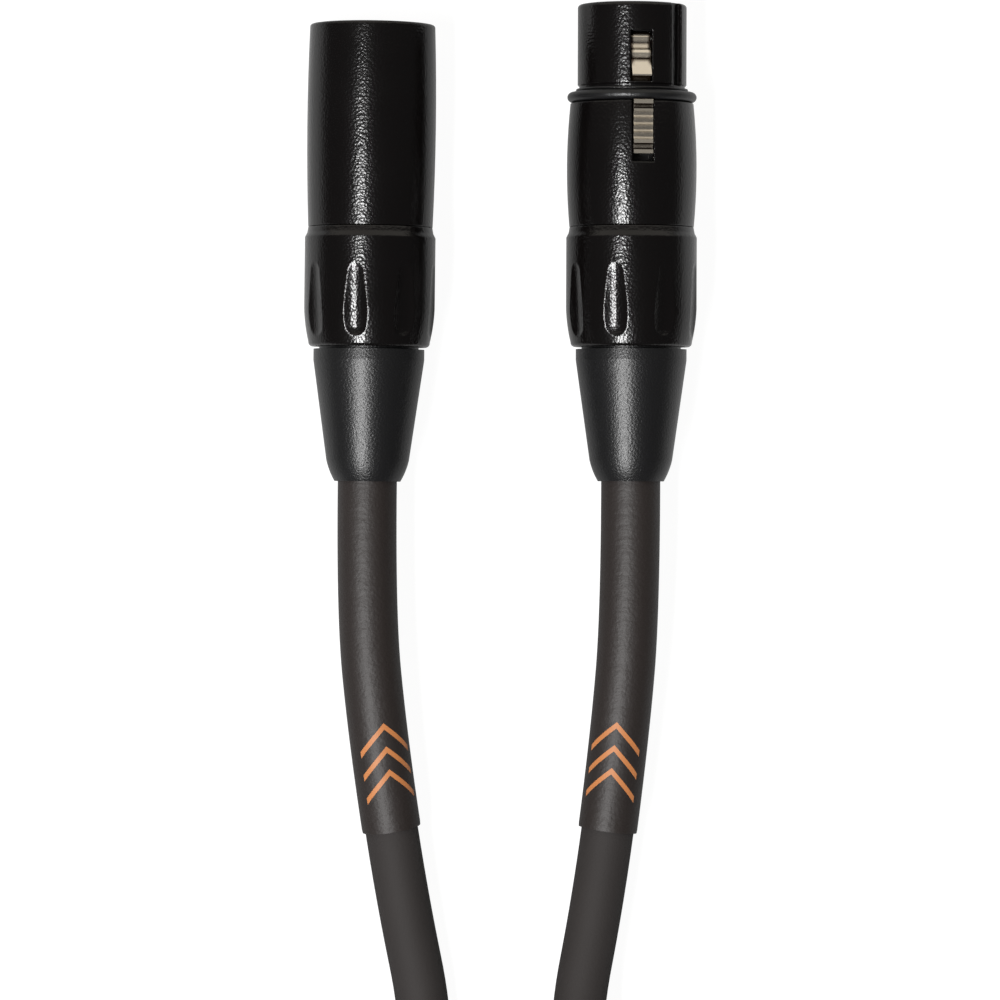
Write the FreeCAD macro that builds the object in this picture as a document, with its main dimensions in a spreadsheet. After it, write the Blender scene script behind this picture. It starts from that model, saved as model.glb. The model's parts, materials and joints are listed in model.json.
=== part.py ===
import FreeCAD, Part
import math
import os
import Sketcher
from FreeCAD import Placement, Rotation, Vector

# Microphone cable with a male and a female three-pole plug, lying side by side on a table.
# Row frame: X right, Y towards the mating ends, Z up, origin on the table between the plugs.
# Each plug has a frame of its own: origin at the boot's mouth, Y along its axis, Z to its latch side.

doc = FreeCAD.newDocument("microphone_cable")
sheet = doc.addObject("Spreadsheet::Sheet", "Sizes")

SIZES = {
    # The cable and what is on it
    "cable_radius": 3.9,
    "sleeve_radius": 4.35,
    "sleeve_bore": 3.95,
    "sleeve_length": 51.5,
    "core_radius": 0.7,
    # Where the plugs lie
    "male_mouth_across": -19.56,
    "female_mouth_across": 19.15,
    "mouth_along": -34.9,
    "male_lean": 0.69,
    "female_lean": 0.19,
    "plug_roll": 9.0,
    # Boot
    "boot_mouth_bore": 4.5,
    "boot_mouth_radius": 4.85,
    "boot_tip_radius": 6.08,
    "boot_tip_station": 3.1,
    "boot_top_radius": 8.15,
    "boot_straight_station": 17.8,
    "boot_shoulder_station": 19.4,
    "boot_neck_radius": 7.3,
    "boot_flange_radius": 8.0,
    "boot_flange_low": 25.3,
    "boot_flange_high": 29.2,
    # Collar
    "collar_radius": 9.6,
    "collar_foot_radius": 8.42,
    "collar_foot_station": 19.75,
    "collar_heel_radius": 8.92,
    "collar_heel_station": 20.4,
    "collar_straight_station": 25.4,
    "collar_top_station": 37.3,
    "collar_top_radius": 9.12,
    "collar_ring_radius": 9.27,
    "collar_ring_station": 36.45,
    "collar_bevel_station": 35.8,
    "collar_lip_bore": 7.45,
    "collar_lip_station": 25.2,
    "collar_pocket_bore": 8.1,
    "collar_pocket_station": 29.4,
    "collar_thread_bore": 7.7,
    # Flutes of the collar
    "flute_count": 8,
    "flute_axis_height": 13.5,
    "flute_top_radius": 4.14,
    "flute_foot_radius": 4.6,
    "flute_top_station": 30.5,
    "flute_foot_station": 22.4,
    "male_flute_roll": 24.8,
    "female_flute_roll": 20.8,
    "flute_rim_radius": 0.3,
    # Shells
    "shell_seam_station": 37.4,
    "shell_seam_radius": 9.15,
    "barrel_radius": 9.45,
    "body_radius": 9.53,
    "spigot_radius": 7.55,
    "spigot_station": 31.4,
    "shell_bore": 6.95,
    # Male shell
    "male_front": 67.1,
    "male_front_radius": 9.2,
    "male_cavity_radius": 8.2,
    "male_cavity_floor": 51.0,
    "catch_low": 58.9,
    "catch_high": 61.8,
    "catch_height": 8.95,
    "key_angle": 46.0,
    "key_rib_width": 2.0,
    "key_slot_width": 2.3,
    # Female shell
    "nose_front": 70.0,
    "nose_radius": 8.0,
    "nose_base": 57.9,
    "gasket_seat_radius": 7.75,
    "gasket_lip_radius": 8.25,
    "gasket_flange_radius": 9.5,
    "gasket_low": 55.7,
    "body_top_radius": 9.05,
    "window_low": 58.3,
    "window_high": 65.8,
    "window_width": 3.2,
    "slot_low": 46.5,
    "bridge_height": 7.4,
    # Latch
    "latch_width": 2.85,
    "latch_pivot_station": 64.7,
    "latch_pivot_height": 6.0,
    "latch_pin_radius": 0.4,
    "latch_pin_reach": 2.0,
    "latch_eye_radius": 0.92,
    "tooth_station": 59.1,
    "tooth_height": 8.45,
    "tab_low": 47.7,
    "tab_high": 55.6,
    "tab_height": 9.6,
    "ridge_pitch": 1.05,
    # Inserts and contacts
    "insert_radius": 6.9,
    "insert_rear": 36.0,
    "skirt_bore": 5.8,
    "male_skirt": 41.0,
    "female_skirt": 44.0,
    "female_face": 69.4,
    "channel_floor": 4.95,
    "channel_width": 3.3,
    "contact_circle": 4.5,
    "pin_radius": 1.2,
    "pin_shank_radius": 1.45,
    "pin_tip": 65.0,
    "socket_radius": 1.6,
    "socket_bore": 1.23,
    "socket_tip": 68.6,
    "socket_depth": 13.0,
    "cup_radius": 1.15,
    "cup_bore": 0.85,
    "cup_depth": 3.0,
    # Cable clamp
    "chuck_radius": 6.9,
    "chuck_cone_station": 24.0,
    "chuck_tip_station": 16.0,
    "chuck_tip_radius": 4.95,
    "chuck_throat": 29.0,
    # Hank of the length that is put away
    "hank_inner_fold": 23.4,
    "hank_step": 8.3,
    "hank_top": -183.0,
    "hank_run": 100.65,
    "hank_waist_half": 11.0,
    "hank_waist_column": 13.4,
    "hank_lift": 1.4,
    "tie_thickness": 1.1,
    "tie_width": 18.0,
}

for row, (alias, number) in enumerate(SIZES.items(), start=1):
    sheet.set(f"A{row}", alias.replace("_", " "))
    sheet.set(f"B{row}", str(number))
    sheet.setAlias(f"B{row}", alias)
doc.recompute()


class Length(float):
    """A number that remembers the sheet formula it comes from."""

    def __new__(cls, number, formula):
        made = float.__new__(cls, number)
        made.formula = formula
        return made

    def __add__(self, other):
        return Length(float(self) + float(other), f"({self.formula} + {written(other)})")

    def __sub__(self, other):
        return Length(float(self) - float(other), f"({self.formula} - {written(other)})")

    def __mul__(self, other):
        return Length(float(self) * float(other), f"({self.formula} * {written(other)})")

    def __neg__(self):
        return self * -1.0


def written(number):
    """The number as the sheet's formulas write it."""
    return number.formula if isinstance(number, Length) else repr(float(number))


class Sizes:
    """The sheet's cells by name."""

    def __getattr__(self, alias):
        return Length(SIZES[alias], f"Sizes.{alias}")


S = Sizes()

# Sketches and features


def plane(body, role):
    """The body's own origin plane."""
    return next(f for f in body.Origin.OriginFeatures if f.Role == role)


def new_body(label):
    body = doc.addObject("PartDesign::Body", label)
    body.Label = label
    return body


def new_sketch(body, name, role, offset=None):
    sketch = body.newObject("Sketcher::SketchObject", name)
    sketch.AttachmentSupport = (plane(body, role), "")
    sketch.MapMode = "FlatFace"
    if offset:
        sketch.AttachmentOffset = offset
    return sketch


def side_sketch(body, name, roll=0.0, height=0.0):
    """A sketch of stations and heights, rolled about the plug's axis and raised off it."""
    turn = Rotation(Vector(1, 0, 0), roll)
    offset = Placement(turn.multVec(Vector(0, height, 0)), turn)
    return new_sketch(body, name, "YZ_Plane", offset)


def cross_sketch(body, name, station):
    """A sketch square to the plug's axis."""
    sketch = new_sketch(body, name, "XZ_Plane")
    sketch.setExpression("AttachmentOffset.Base.z", (-station).formula)
    return sketch


def pin_point(sketch, geometry, end, across, along):
    """Ties one point of a sketch to its two sizes."""
    for kind, axis, number in (("DistanceX", -2, across), ("DistanceY", -1, along)):
        if abs(number) < 1e-9:
            sketch.addConstraint(Sketcher.Constraint("PointOnObject", geometry, end, axis))
            continue
        index = sketch.addConstraint(
            Sketcher.Constraint(kind, -1, 1, geometry, end, float(number))
        )
        if isinstance(number, Length):
            sketch.setExpression(f"Constraints[{index}]", number.formula)


def outline(sketch, corners):
    """Closes an outline through the corners; an arc runs through each corner marked as through."""
    stops = [c for c in corners if len(c) == 2]
    spots = [i for i, c in enumerate(corners) if len(c) == 2]
    edges = []
    for n, spot in enumerate(spots):
        start = Vector(float(stops[n][0]), float(stops[n][1]), 0)
        after = stops[(n + 1) % len(stops)]
        end = Vector(float(after[0]), float(after[1]), 0)
        middle = corners[(spot + 1) % len(corners)]
        if len(middle) == 2:
            edges.append((sketch.addGeometry(Part.LineSegment(start, end)), 1, 2))
            continue
        through = Vector(float(middle[0]), float(middle[1]), 0)
        counter = (through - start).cross(end - through).z > 0
        ends = (start, end) if counter else (end, start)
        arc = sketch.addGeometry(Part.Arc(ends[0], through, ends[1]))
        edges.append((arc, 1, 2) if counter else (arc, 2, 1))
        dot = sketch.addGeometry(Part.Point(through), True)
        pin_point(sketch, dot, 1, middle[0], middle[1])
        sketch.addConstraint(Sketcher.Constraint("PointOnObject", dot, 1, arc))
    for n, (geometry, first, _) in enumerate(edges):
        before, _, last = edges[n - 1]
        sketch.addConstraint(Sketcher.Constraint("Coincident", before, last, geometry, first))
        pin_point(sketch, geometry, first, stops[n][0], stops[n][1])
    return sketch


def through(across, along):
    return (across, along, "through")


def rectangle(sketch, low, high, bottom, top):
    return outline(sketch, [(low, bottom), (high, bottom), (high, top), (low, top)])


def circle(sketch, across, along, radius):
    """Adds a circle whose centre and radius follow the sheet."""
    centre = Vector(float(across), float(along), 0)
    ring = sketch.addGeometry(Part.Circle(centre, Vector(0, 0, 1), float(radius)))
    pin_point(sketch, ring, 3, across, along)
    index = sketch.addConstraint(Sketcher.Constraint("Radius", ring, float(radius)))
    if isinstance(radius, Length):
        sketch.setExpression(f"Constraints[{index}]", radius.formula)
    return ring


def revolve(body, sketch, name, kind="Revolution", axis="V_Axis"):
    turned = body.newObject(f"PartDesign::{kind}", name)
    turned.Profile = sketch
    turned.ReferenceAxis = (sketch, [axis])
    turned.Angle = 360.0
    return turned


def extrude(body, sketch, name, length, kind="Pocket", both=True, back=False):
    made = body.newObject(f"PartDesign::{kind}", name)
    made.Profile = sketch
    made.Type = 0
    if isinstance(length, Length):
        made.setExpression("Length", length.formula)
    made.Length = float(length)
    made.Midplane = both
    made.Reversed = back
    return made


def around(body, sketch, feature, name, count):
    """Repeats a feature around the plug's axis."""
    pattern = body.newObject("PartDesign::PolarPattern", name)
    pattern.Originals = [feature]
    pattern.Axis = (next(f for f in body.Origin.OriginFeatures if f.Role == "Y_Axis"), [""])
    pattern.Angle = 360.0
    pattern.Occurrences = int(count)
    body.Tip = pattern
    return pattern


def turned_body(label, corners):
    """A body revolved about its own Y axis."""
    body = new_body(label)
    sketch = outline(new_sketch(body, f"{label}_outline", "XY_Plane"), corners)
    revolve(body, sketch, f"{label}_turned")
    return body


# Where each plug lies


def plug_place(across, lean):
    """The plug's frame in the row frame."""
    turn = Rotation(Vector(0, 0, 1), -lean).multiply(Rotation(Vector(0, 1, 0), SIZES["plug_roll"]))
    return Placement(Vector(across, SIZES["mouth_along"], SIZES["collar_radius"]), turn)


MALE = plug_place(SIZES["male_mouth_across"], SIZES["male_lean"])
FEMALE = plug_place(SIZES["female_mouth_across"], SIZES["female_lean"])

# The three contacts: two beside the latch side, one opposite
CONTACT_ANGLES = (45.0, -45.0, 180.0)


def contact_spot(angle, circle_radius=None):
    """A contact's place off the plug's axis."""
    reach = SIZES["contact_circle"] if circle_radius is None else circle_radius
    turn = math.radians(angle)
    return Vector(reach * math.sin(turn), 0, reach * math.cos(turn))


def shifted(plug, offset):
    return plug.multiply(Placement(offset, Rotation()))


# Parts that both plugs have


def is_rim(edge):
    """True for the curve that a flute cuts into the collar's outside."""
    return edge.Curve.TypeId == "Part::GeomBSplineCurve"


def make_collar(label, plug, roll):
    """Ring nut: bevelled top, rounded foot, eight scooped flutes, a lip that holds the boot."""
    body = turned_body(
        label,
        [
            (S.collar_lip_bore, S.collar_foot_station),
            (S.collar_foot_radius, S.collar_foot_station),
            through(S.collar_heel_radius - 0.13, S.collar_foot_station + 0.23),
            (S.collar_heel_radius, S.collar_heel_station),
            through(S.collar_radius - 0.36, S.collar_foot_station + 2.2),
            (S.collar_radius, S.collar_straight_station),
            (S.collar_radius, S.collar_bevel_station),
            (S.collar_ring_radius, S.collar_ring_station),
            (S.collar_top_radius, S.collar_top_station),
            (S.collar_thread_bore, S.collar_top_station),
            (S.collar_thread_bore, S.collar_pocket_station),
            (S.collar_pocket_bore, S.collar_pocket_station),
            (S.collar_pocket_bore, S.collar_lip_station),
            (S.collar_lip_bore, S.collar_lip_station),
        ],
    )
    height = SIZES["flute_axis_height"]
    scoop = side_sketch(body, f"{label}_scoop", roll, height)
    diagonal = math.sqrt(0.5)
    outline(
        scoop,
        [
            (S.flute_top_station + S.flute_top_radius, 0.0),
            through(
                S.flute_top_station + S.flute_top_radius * diagonal,
                -S.flute_top_radius * diagonal,
            ),
            (S.flute_top_station, -S.flute_top_radius),
            (S.flute_foot_station, -S.flute_foot_radius),
            through(
                S.flute_foot_station - S.flute_foot_radius * diagonal,
                -S.flute_foot_radius * diagonal,
            ),
            (S.flute_foot_station - S.flute_foot_radius, 0.0),
        ],
    )
    groove = revolve(body, scoop, f"{label}_flute", "Groove", "H_Axis")
    flutes = around(body, scoop, groove, f"{label}_flutes", SIZES["flute_count"])
    doc.recompute()
    rims = [n for n, e in enumerate(flutes.Shape.Edges, start=1) if is_rim(e)]
    rounded = body.newObject("PartDesign::Fillet", f"{label}_rims")
    rounded.Base = (flutes, [f"Edge{n}" for n in rims])
    rounded.setExpression("Radius", S.flute_rim_radius.formula)
    rounded.Radius = float(S.flute_rim_radius)
    body.Placement = plug


def make_boot(label, plug):
    """Rubber bend protection: straight neck, long taper, rounded shoulder, cone seat for the clamp."""
    body = turned_body(
        label,
        [
            (S.boot_mouth_bore, 0.0),
            (S.boot_mouth_radius, 0.0),
            through(S.boot_tip_radius - 0.46, S.boot_tip_station - 1.5),
            (S.boot_tip_radius, S.boot_tip_station),
            (S.boot_top_radius, S.boot_straight_station),
            (S.boot_top_radius, S.boot_shoulder_station),
            (S.boot_neck_radius, S.boot_shoulder_station),
            (S.boot_neck_radius, S.boot_flange_low),
            (S.boot_flange_radius, S.boot_flange_low),
            (S.boot_flange_radius, S.boot_flange_high),
            (S.chuck_radius + 0.1, S.boot_flange_high),
            (S.chuck_radius + 0.1, S.chuck_cone_station - 0.1),
            (S.chuck_tip_radius + 0.1, S.chuck_tip_station - 0.1),
            (S.boot_mouth_bore, S.chuck_tip_station - 0.1),
        ],
    )
    body.Placement = plug


def make_chuck(label, plug):
    """Acetal cable clamp: a slit cone that the boot squeezes round the cable."""
    body = turned_body(
        label,
        [
            (S.cable_radius + 0.05, S.chuck_tip_station),
            (S.chuck_tip_radius, S.chuck_tip_station),
            (S.chuck_radius, S.chuck_cone_station),
            (S.chuck_radius, S.insert_rear),
            (S.skirt_bore, S.insert_rear),
            (S.skirt_bore, S.chuck_throat),
            (S.cable_radius + 0.05, S.chuck_throat),
        ],
    )
    slit = side_sketch(body, f"{label}_slit_outline")
    low, high = S.chuck_tip_station - 1.0, S.chuck_cone_station + 2.0
    rectangle(slit, low, high, S.cable_radius - 1.0, S.chuck_radius + 1.0)
    cut = extrude(body, slit, f"{label}_slit", 1.0)
    around(body, slit, cut, f"{label}_slits", 4)
    body.Placement = plug


def make_cable_end(label, plug):
    """The cable's jacket from the boot's mouth to where it is stripped."""
    body = turned_body(
        label,
        [(0.0, 0.0), (S.cable_radius, 0.0), (S.cable_radius, S.chuck_throat), (0.0, S.chuck_throat)],
    )
    body.Placement = plug


# Male plug


def make_male_shell():
    """Cast barrel with a slight belly, an open front with three pins' room, a key rib and a latch recess."""
    body = turned_body(
        "male_shell",
        [
            (S.shell_bore, S.spigot_station),
            (S.spigot_radius, S.spigot_station),
            (S.spigot_radius, S.shell_seam_station),
            (S.shell_seam_radius, S.shell_seam_station),
            through(S.barrel_radius, S.shell_seam_station + 13.0),
            (S.male_front_radius, S.male_front - 0.4),
            through(S.male_front_radius - 0.12, S.male_front - 0.12),
            (S.male_front_radius - 0.4, S.male_front),
            (S.male_cavity_radius + 0.25, S.male_front),
            (S.male_cavity_radius, S.male_front - 0.35),
            (S.male_cavity_radius, S.male_cavity_floor),
            (S.shell_bore, S.male_cavity_floor),
        ],
    )
    recess = side_sketch(body, "catch_outline")
    rectangle(recess, S.catch_low, S.catch_high, S.male_cavity_radius - 1.0, S.catch_height)
    extrude(body, recess, "catch_recess", S.window_width)
    rib = side_sketch(body, "key_outline", -SIZES["key_angle"])
    rectangle(
        rib,
        S.male_cavity_floor - 0.5,
        S.male_front - 3.0,
        S.male_cavity_radius - 0.65,
        S.male_cavity_radius + 0.5,
    )
    extrude(body, rib, "key_rib", S.key_rib_width, "Pad")
    body.Placement = MALE


def make_male_insert():
    """Moulded disc that carries the three pins, with a skirt round the solder cups."""
    body = turned_body(
        "male_insert",
        [
            (0.0, S.male_skirt),
            (S.skirt_bore, S.male_skirt),
            (S.skirt_bore, S.insert_rear),
            (S.insert_radius, S.insert_rear),
            (S.insert_radius, S.male_cavity_floor),
            (0.0, S.male_cavity_floor),
        ],
    )
    holes = cross_sketch(body, "pin_holes_outline", S.male_skirt - 0.5)
    for angle in CONTACT_ANGLES:
        spot = contact_spot(angle)
        circle(holes, spot.x, spot.z, S.pin_shank_radius)
    extrude(body, holes, "pin_holes", S.male_cavity_floor - S.male_skirt + 1.0, both=False)
    body.Placement = MALE


def make_male_pin(label, angle):
    """Turned contact pin: domed tip, thicker shank in the insert, hollow solder cup."""
    cup_end = S.male_skirt - 5.5
    body = turned_body(
        label,
        [
            (0.0, cup_end + S.cup_depth),
            (S.cup_bore, cup_end + S.cup_depth),
            (S.cup_bore, cup_end),
            (S.cup_radius, cup_end),
            (S.cup_radius, S.male_skirt),
            (S.pin_shank_radius, S.male_skirt),
            (S.pin_shank_radius, S.male_cavity_floor),
            (S.pin_radius, S.male_cavity_floor),
            (S.pin_radius, S.pin_tip - S.pin_radius),
            through(S.pin_radius * math.sqrt(0.5), S.pin_tip - S.pin_radius * (1 - math.sqrt(0.5))),
            (0.0, S.pin_tip),
        ],
    )
    body.Placement = shifted(MALE, contact_spot(angle))


# Female plug


def make_female_shell():
    """Cast body and nose: gasket seat, latch window in the nose, latch slot in the body, key slot."""
    body = turned_body(
        "female_shell",
        [
            (S.shell_bore, S.spigot_station),
            (S.spigot_radius, S.spigot_station),
            (S.spigot_radius, S.shell_seam_station),
            (S.shell_seam_radius, S.shell_seam_station),
            through(S.body_radius, S.shell_seam_station + 9.0),
            (S.body_top_radius, S.gasket_low - 0.3),
            (S.body_top_radius - 0.3, S.gasket_low),
            (S.gasket_seat_radius, S.gasket_low),
            (S.gasket_seat_radius, S.nose_base),
            (S.nose_radius, S.nose_base + 0.3),
            (S.nose_radius, S.nose_front - 0.5),
            through(S.nose_radius - 0.15, S.nose_front - 0.15),
            (S.nose_radius - 0.5, S.nose_front),
            (S.shell_bore, S.nose_front),
        ],
    )
    window = side_sketch(body, "window_outline")
    rectangle(window, S.window_low, S.window_high, S.shell_bore - 1.0, S.nose_radius + 1.0)
    extrude(body, window, "nose_window", S.window_width)
    slot = side_sketch(body, "slot_outline")
    rectangle(slot, S.slot_low, S.gasket_low, S.shell_bore - 1.0, S.barrel_radius + 1.0)
    extrude(body, slot, "latch_slot", S.window_width)
    bridge = side_sketch(body, "bridge_outline")
    rectangle(bridge, S.gasket_low - 0.5, S.window_low + 0.5, S.shell_bore - 1.0, S.bridge_height)
    extrude(body, bridge, "bridge_channel", S.window_width)
    key = side_sketch(body, "key_slot_outline", SIZES["key_angle"])
    rectangle(key, S.nose_base, S.nose_front + 0.5, S.nose_radius - 0.75, S.nose_radius + 1.0)
    extrude(body, key, "key_slot", S.key_slot_width)
    body.Placement = FEMALE


def make_gasket():
    """Rubber ring at the nose's foot: a thin lip over a wide rounded flange."""
    flange = S.gasket_low + 1.4
    body = turned_body(
        "female_gasket",
        [
            (S.gasket_seat_radius, S.gasket_low),
            (S.gasket_flange_radius - 0.5, S.gasket_low),
            through(S.gasket_flange_radius, S.gasket_low + 0.7),
            (S.gasket_flange_radius - 0.5, flange),
            (S.gasket_lip_radius - 0.1, flange + 0.1),
            through(S.gasket_lip_radius, flange + 0.3),
            (S.gasket_lip_radius - 0.1, flange + 0.5),
            (S.gasket_seat_radius, flange + 0.5),
        ],
    )
    body.Placement = FEMALE


def make_female_insert():
    """Moulded body with three contact chambers and the channel that the latch works in."""
    body = turned_body(
        "female_insert",
        [
            (0.0, S.female_skirt),
            (S.skirt_bore, S.female_skirt),
            (S.skirt_bore, S.insert_rear),
            (S.insert_radius, S.insert_rear),
            (S.insert_radius, S.female_face),
            (0.0, S.female_face),
        ],
    )
    chambers = cross_sketch(body, "chambers_outline", S.female_skirt - 0.5)
    mouths = cross_sketch(body, "mouths_outline", S.socket_tip - 0.2)
    for angle in CONTACT_ANGLES:
        spot = contact_spot(angle)
        circle(chambers, spot.x, spot.z, S.socket_radius)
        circle(mouths, spot.x, spot.z, S.pin_radius + 0.15)
    extrude(body, chambers, "contact_chambers", S.socket_tip - S.female_skirt + 0.5, both=False)
    extrude(body, mouths, "contact_mouths", 2.0, both=False)
    channel = side_sketch(body, "channel_outline")
    rectangle(
        channel,
        S.slot_low - 0.5,
        S.latch_pivot_station + S.latch_eye_radius + 0.15,
        S.channel_floor,
        S.insert_radius + 1.0,
    )
    extrude(body, channel, "latch_channel", S.channel_width)
    bore = side_sketch(body, "pivot_bore_outline")
    circle(bore, S.latch_pivot_station, S.latch_pivot_height, S.latch_pin_radius)
    extrude(body, bore, "pivot_bore", S.latch_pin_reach * 2.0)
    body.Placement = FEMALE


def make_female_contact(label, angle):
    """Socket contact: a tube that takes the mating pin, a thinner shank, a solder cup."""
    cup_end = S.female_skirt - 5.5
    body = turned_body(
        label,
        [
            (0.0, S.socket_tip - S.socket_depth),
            (S.socket_bore, S.socket_tip - S.socket_depth),
            (S.socket_bore, S.socket_tip),
            (S.socket_radius, S.socket_tip),
            (S.socket_radius, S.female_skirt),
            (S.cup_radius, S.female_skirt),
            (S.cup_radius, cup_end),
            (S.cup_bore, cup_end),
            (S.cup_bore, cup_end + S.cup_depth),
            (0.0, cup_end + S.cup_depth),
        ],
    )
    body.Placement = shifted(FEMALE, contact_spot(angle))


def make_latch():
    """Formed latch lever: eye round the pin, spring hump, ramped tooth, arm, ridged thumb tab."""
    body = new_body("latch_lever")
    arm = side_sketch(body, "lever_outline")
    pivot, high, eye = S.latch_pivot_station, S.latch_pivot_height, S.latch_eye_radius
    top, under = high + 1.1, high + 0.2
    outline(
        arm,
        [
            (pivot - 0.2, high + eye),
            through(pivot + eye, high),
            (pivot - 0.2, high - eye),
            (pivot - 1.0, high - eye * 0.5),
            (pivot - 1.6, under - 0.15),
            (S.tab_high - 0.4, under),
            (S.tab_low + 0.5, under + 0.65),
            (S.tab_low, S.tab_height - 1.2),
            (S.tab_low, S.tab_height - 0.1),
            (S.tab_low + 0.1, S.tab_height),
            (S.tab_high - 0.1, S.tab_height),
            (S.tab_high, S.tab_height - 0.1),
            (S.tab_high, top),
            (S.tooth_station, top),
            (S.tooth_station, S.tooth_height - 0.1),
            (S.tooth_station + 0.2, S.tooth_height),
            (S.tooth_station + 2.5, top + 0.15),
            through(S.tooth_station + 3.4, top + 0.5),
            (S.tooth_station + 4.1, top - 0.1),
            (pivot - 0.75, high + eye * 0.7),
        ],
    )
    extrude(body, arm, "lever_pad", S.latch_width, "Pad")
    bore = side_sketch(body, "eye_outline")
    circle(bore, pivot, high, S.latch_pin_radius + 0.03)
    extrude(body, bore, "eye_bore", S.latch_width + 1.0)
    first = S.tab_low + 2.0
    groove = side_sketch(body, "ridge_outline")
    circle(groove, first + S.ridge_pitch * 0.5, S.tab_height + 0.33, 0.6)
    cut = extrude(body, groove, "ridge_groove", S.latch_width + 1.0)
    rows = body.newObject("PartDesign::LinearPattern", "ridge_grooves")
    rows.Originals = [cut]
    rows.Direction = (next(f for f in body.Origin.OriginFeatures if f.Role == "Y_Axis"), [""])
    rows.Length = 3 * SIZES["ridge_pitch"]
    rows.Occurrences = 4
    body.Tip = rows
    for name, low, high_end in (
        ("rear_step", S.tab_low + 0.55, S.tab_low + 1.5),
        ("front_step", S.tab_high - 1.4, S.tab_high - 0.65),
    ):
        step = side_sketch(body, f"{name}_outline")
        rectangle(step, low, high_end, S.tab_height - 0.32, S.tab_height + 0.5)
        extrude(body, step, name, S.latch_width + 1.0)
    body.Placement = FEMALE


def make_latch_pin():
    """Straight pin that the latch turns on."""
    body = new_body("latch_pin")
    sketch = side_sketch(body, "latch_pin_outline")
    circle(sketch, S.latch_pivot_station, S.latch_pivot_height, S.latch_pin_radius)
    extrude(body, sketch, "latch_pin_pad", S.latch_pin_reach * 2.0, "Pad")
    body.Placement = FEMALE


def make_latch_spring():
    """Leaf spring on the channel's floor that lifts the latch, drawn pressed flat."""
    body = new_body("latch_spring")
    sketch = side_sketch(body, "spring_outline")
    floor, leaf = S.channel_floor, 0.2
    foot, heel, tip = S.slot_low + 1.5, S.slot_low + 6.0, S.tooth_station + 2.4
    outline(
        sketch,
        [
            (foot, floor),
            (heel, floor),
            (tip, floor + 0.2),
            (tip, floor + 0.2 + leaf),
            (heel, floor + leaf),
            (foot, floor + leaf),
        ],
    )
    extrude(body, sketch, "spring_pad", S.latch_width - 0.6, "Pad")
    body.Placement = FEMALE


# Cords: routes of straight runs and tangent arcs


def arc_from(start, heading, end):
    """The arc that leaves start along heading and reaches end, with the heading it arrives on."""
    chord = end - start
    along = Vector(chord).normalize()
    side = heading - along * heading.dot(along)
    arrives = along * (2 * heading.dot(along)) - heading
    if side.Length < 1e-6:
        return Part.LineSegment(start, end), heading
    half_turn = math.acos(max(-1.0, min(1.0, heading.dot(along))))
    middle = (start + end) * 0.5 + side.normalize() * (chord.Length / 2 * math.tan(half_turn / 2))
    return Part.Arc(start, middle, end), arrives


def rounded_route(points, diameter, name):
    """Straight runs joined by arcs, each as large as its two runs allow; prints the least radius."""
    edges, start, radii = [], points[0], []
    for before, corner, after in zip(points, points[1:], points[2:]):
        back, ahead = before - corner, after - corner
        run = min(back.Length, ahead.Length)
        reach = 0.45 * run
        turn = math.pi - back.getAngle(ahead)
        radii.append(reach / math.tan(turn / 2))
        entry = corner + back.normalize() * reach
        leave = corner + ahead.normalize() * reach
        edges.append(Part.LineSegment(start, entry).toShape())
        arc, _ = arc_from(entry, back * -1.0, leave)
        edges.append(arc.toShape())
        start = leave
    edges.append(Part.LineSegment(start, points[-1]).toShape())
    rounded = ", ".join(f"{r:.0f}" for r in radii)
    print(f"{name}: radii {rounded} mm, least {min(radii) / diameter:.1f} diameters")
    return Part.Wire(edges)


def swept(wire, radius, bore=0.0):
    """A round tube along the wire, hollow when a bore is given."""
    first = wire.OrderedEdges[0]
    start = wire.OrderedVertexes[0].Point
    heading = first.tangentAt(first.FirstParameter)

    def pipe(section_radius):
        section = Part.Wire([Part.Circle(start, heading, section_radius).toShape()])
        return Part.Solid(wire.makePipeShell([section], True, False))

    solid = pipe(radius)
    if bore:
        solid = solid.cut(pipe(bore))
    wanted = math.pi * (radius**2 - bore**2) * wire.Length
    print(f"  length {wire.Length:.1f} mm, volume over section times length {solid.Volume / wanted:.4f}")
    return solid


def feature(label, shape, place=None):
    made = doc.addObject("Part::Feature", label)
    made.Label = label
    made.Shape = shape
    if place:
        made.Placement = place
    return made


def make_core(label, plug, angle, cup_end):
    """One conductor from the stripped jacket to its solder cup."""
    start, end = SIZES["chuck_throat"], cup_end + 2.0
    near, far = contact_spot(angle, 2.4), contact_spot(angle)
    third = (end - start) / 3.0
    points = [
        near + Vector(0, start, 0),
        near + Vector(0, start + third * 0.8, 0),
        far + Vector(0, end - third * 1.3, 0),
        far + Vector(0, end, 0),
    ]
    feature(label, swept(rounded_route(points, 2 * SIZES["core_radius"], label), SIZES["core_radius"]), plug)


# The two leads, from each boot's mouth to the hank, as points chosen by eye
MALE_LEAD = [
    (-19.56, -34.9, 9.6),
    (-19.79, -54.0, 9.6),
    (-18.1, -72.0, 8.0),
    (-14.8, -95.0, 5.2),
    (-10.3, -117.0, 3.9),
    (-13.1, -134.3, 3.9),
    (-25.2, -152.6, 3.9),
    (-31.7, -170.0, 3.9),
    (-31.7, -183.0, 3.9),
]
FEMALE_LEAD = [
    (19.15, -34.9, 9.6),
    (19.09, -54.0, 9.6),
    (17.6, -72.0, 8.0),
    (14.7, -95.0, 6.6),
    (10.4, -117.0, 8.8),
    (13.4, -134.0, 16.0),
    (25.4, -152.0, 26.0),
    (31.7, -169.0, 28.8),
    (31.7, -183.0, 28.8),
]


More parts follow.
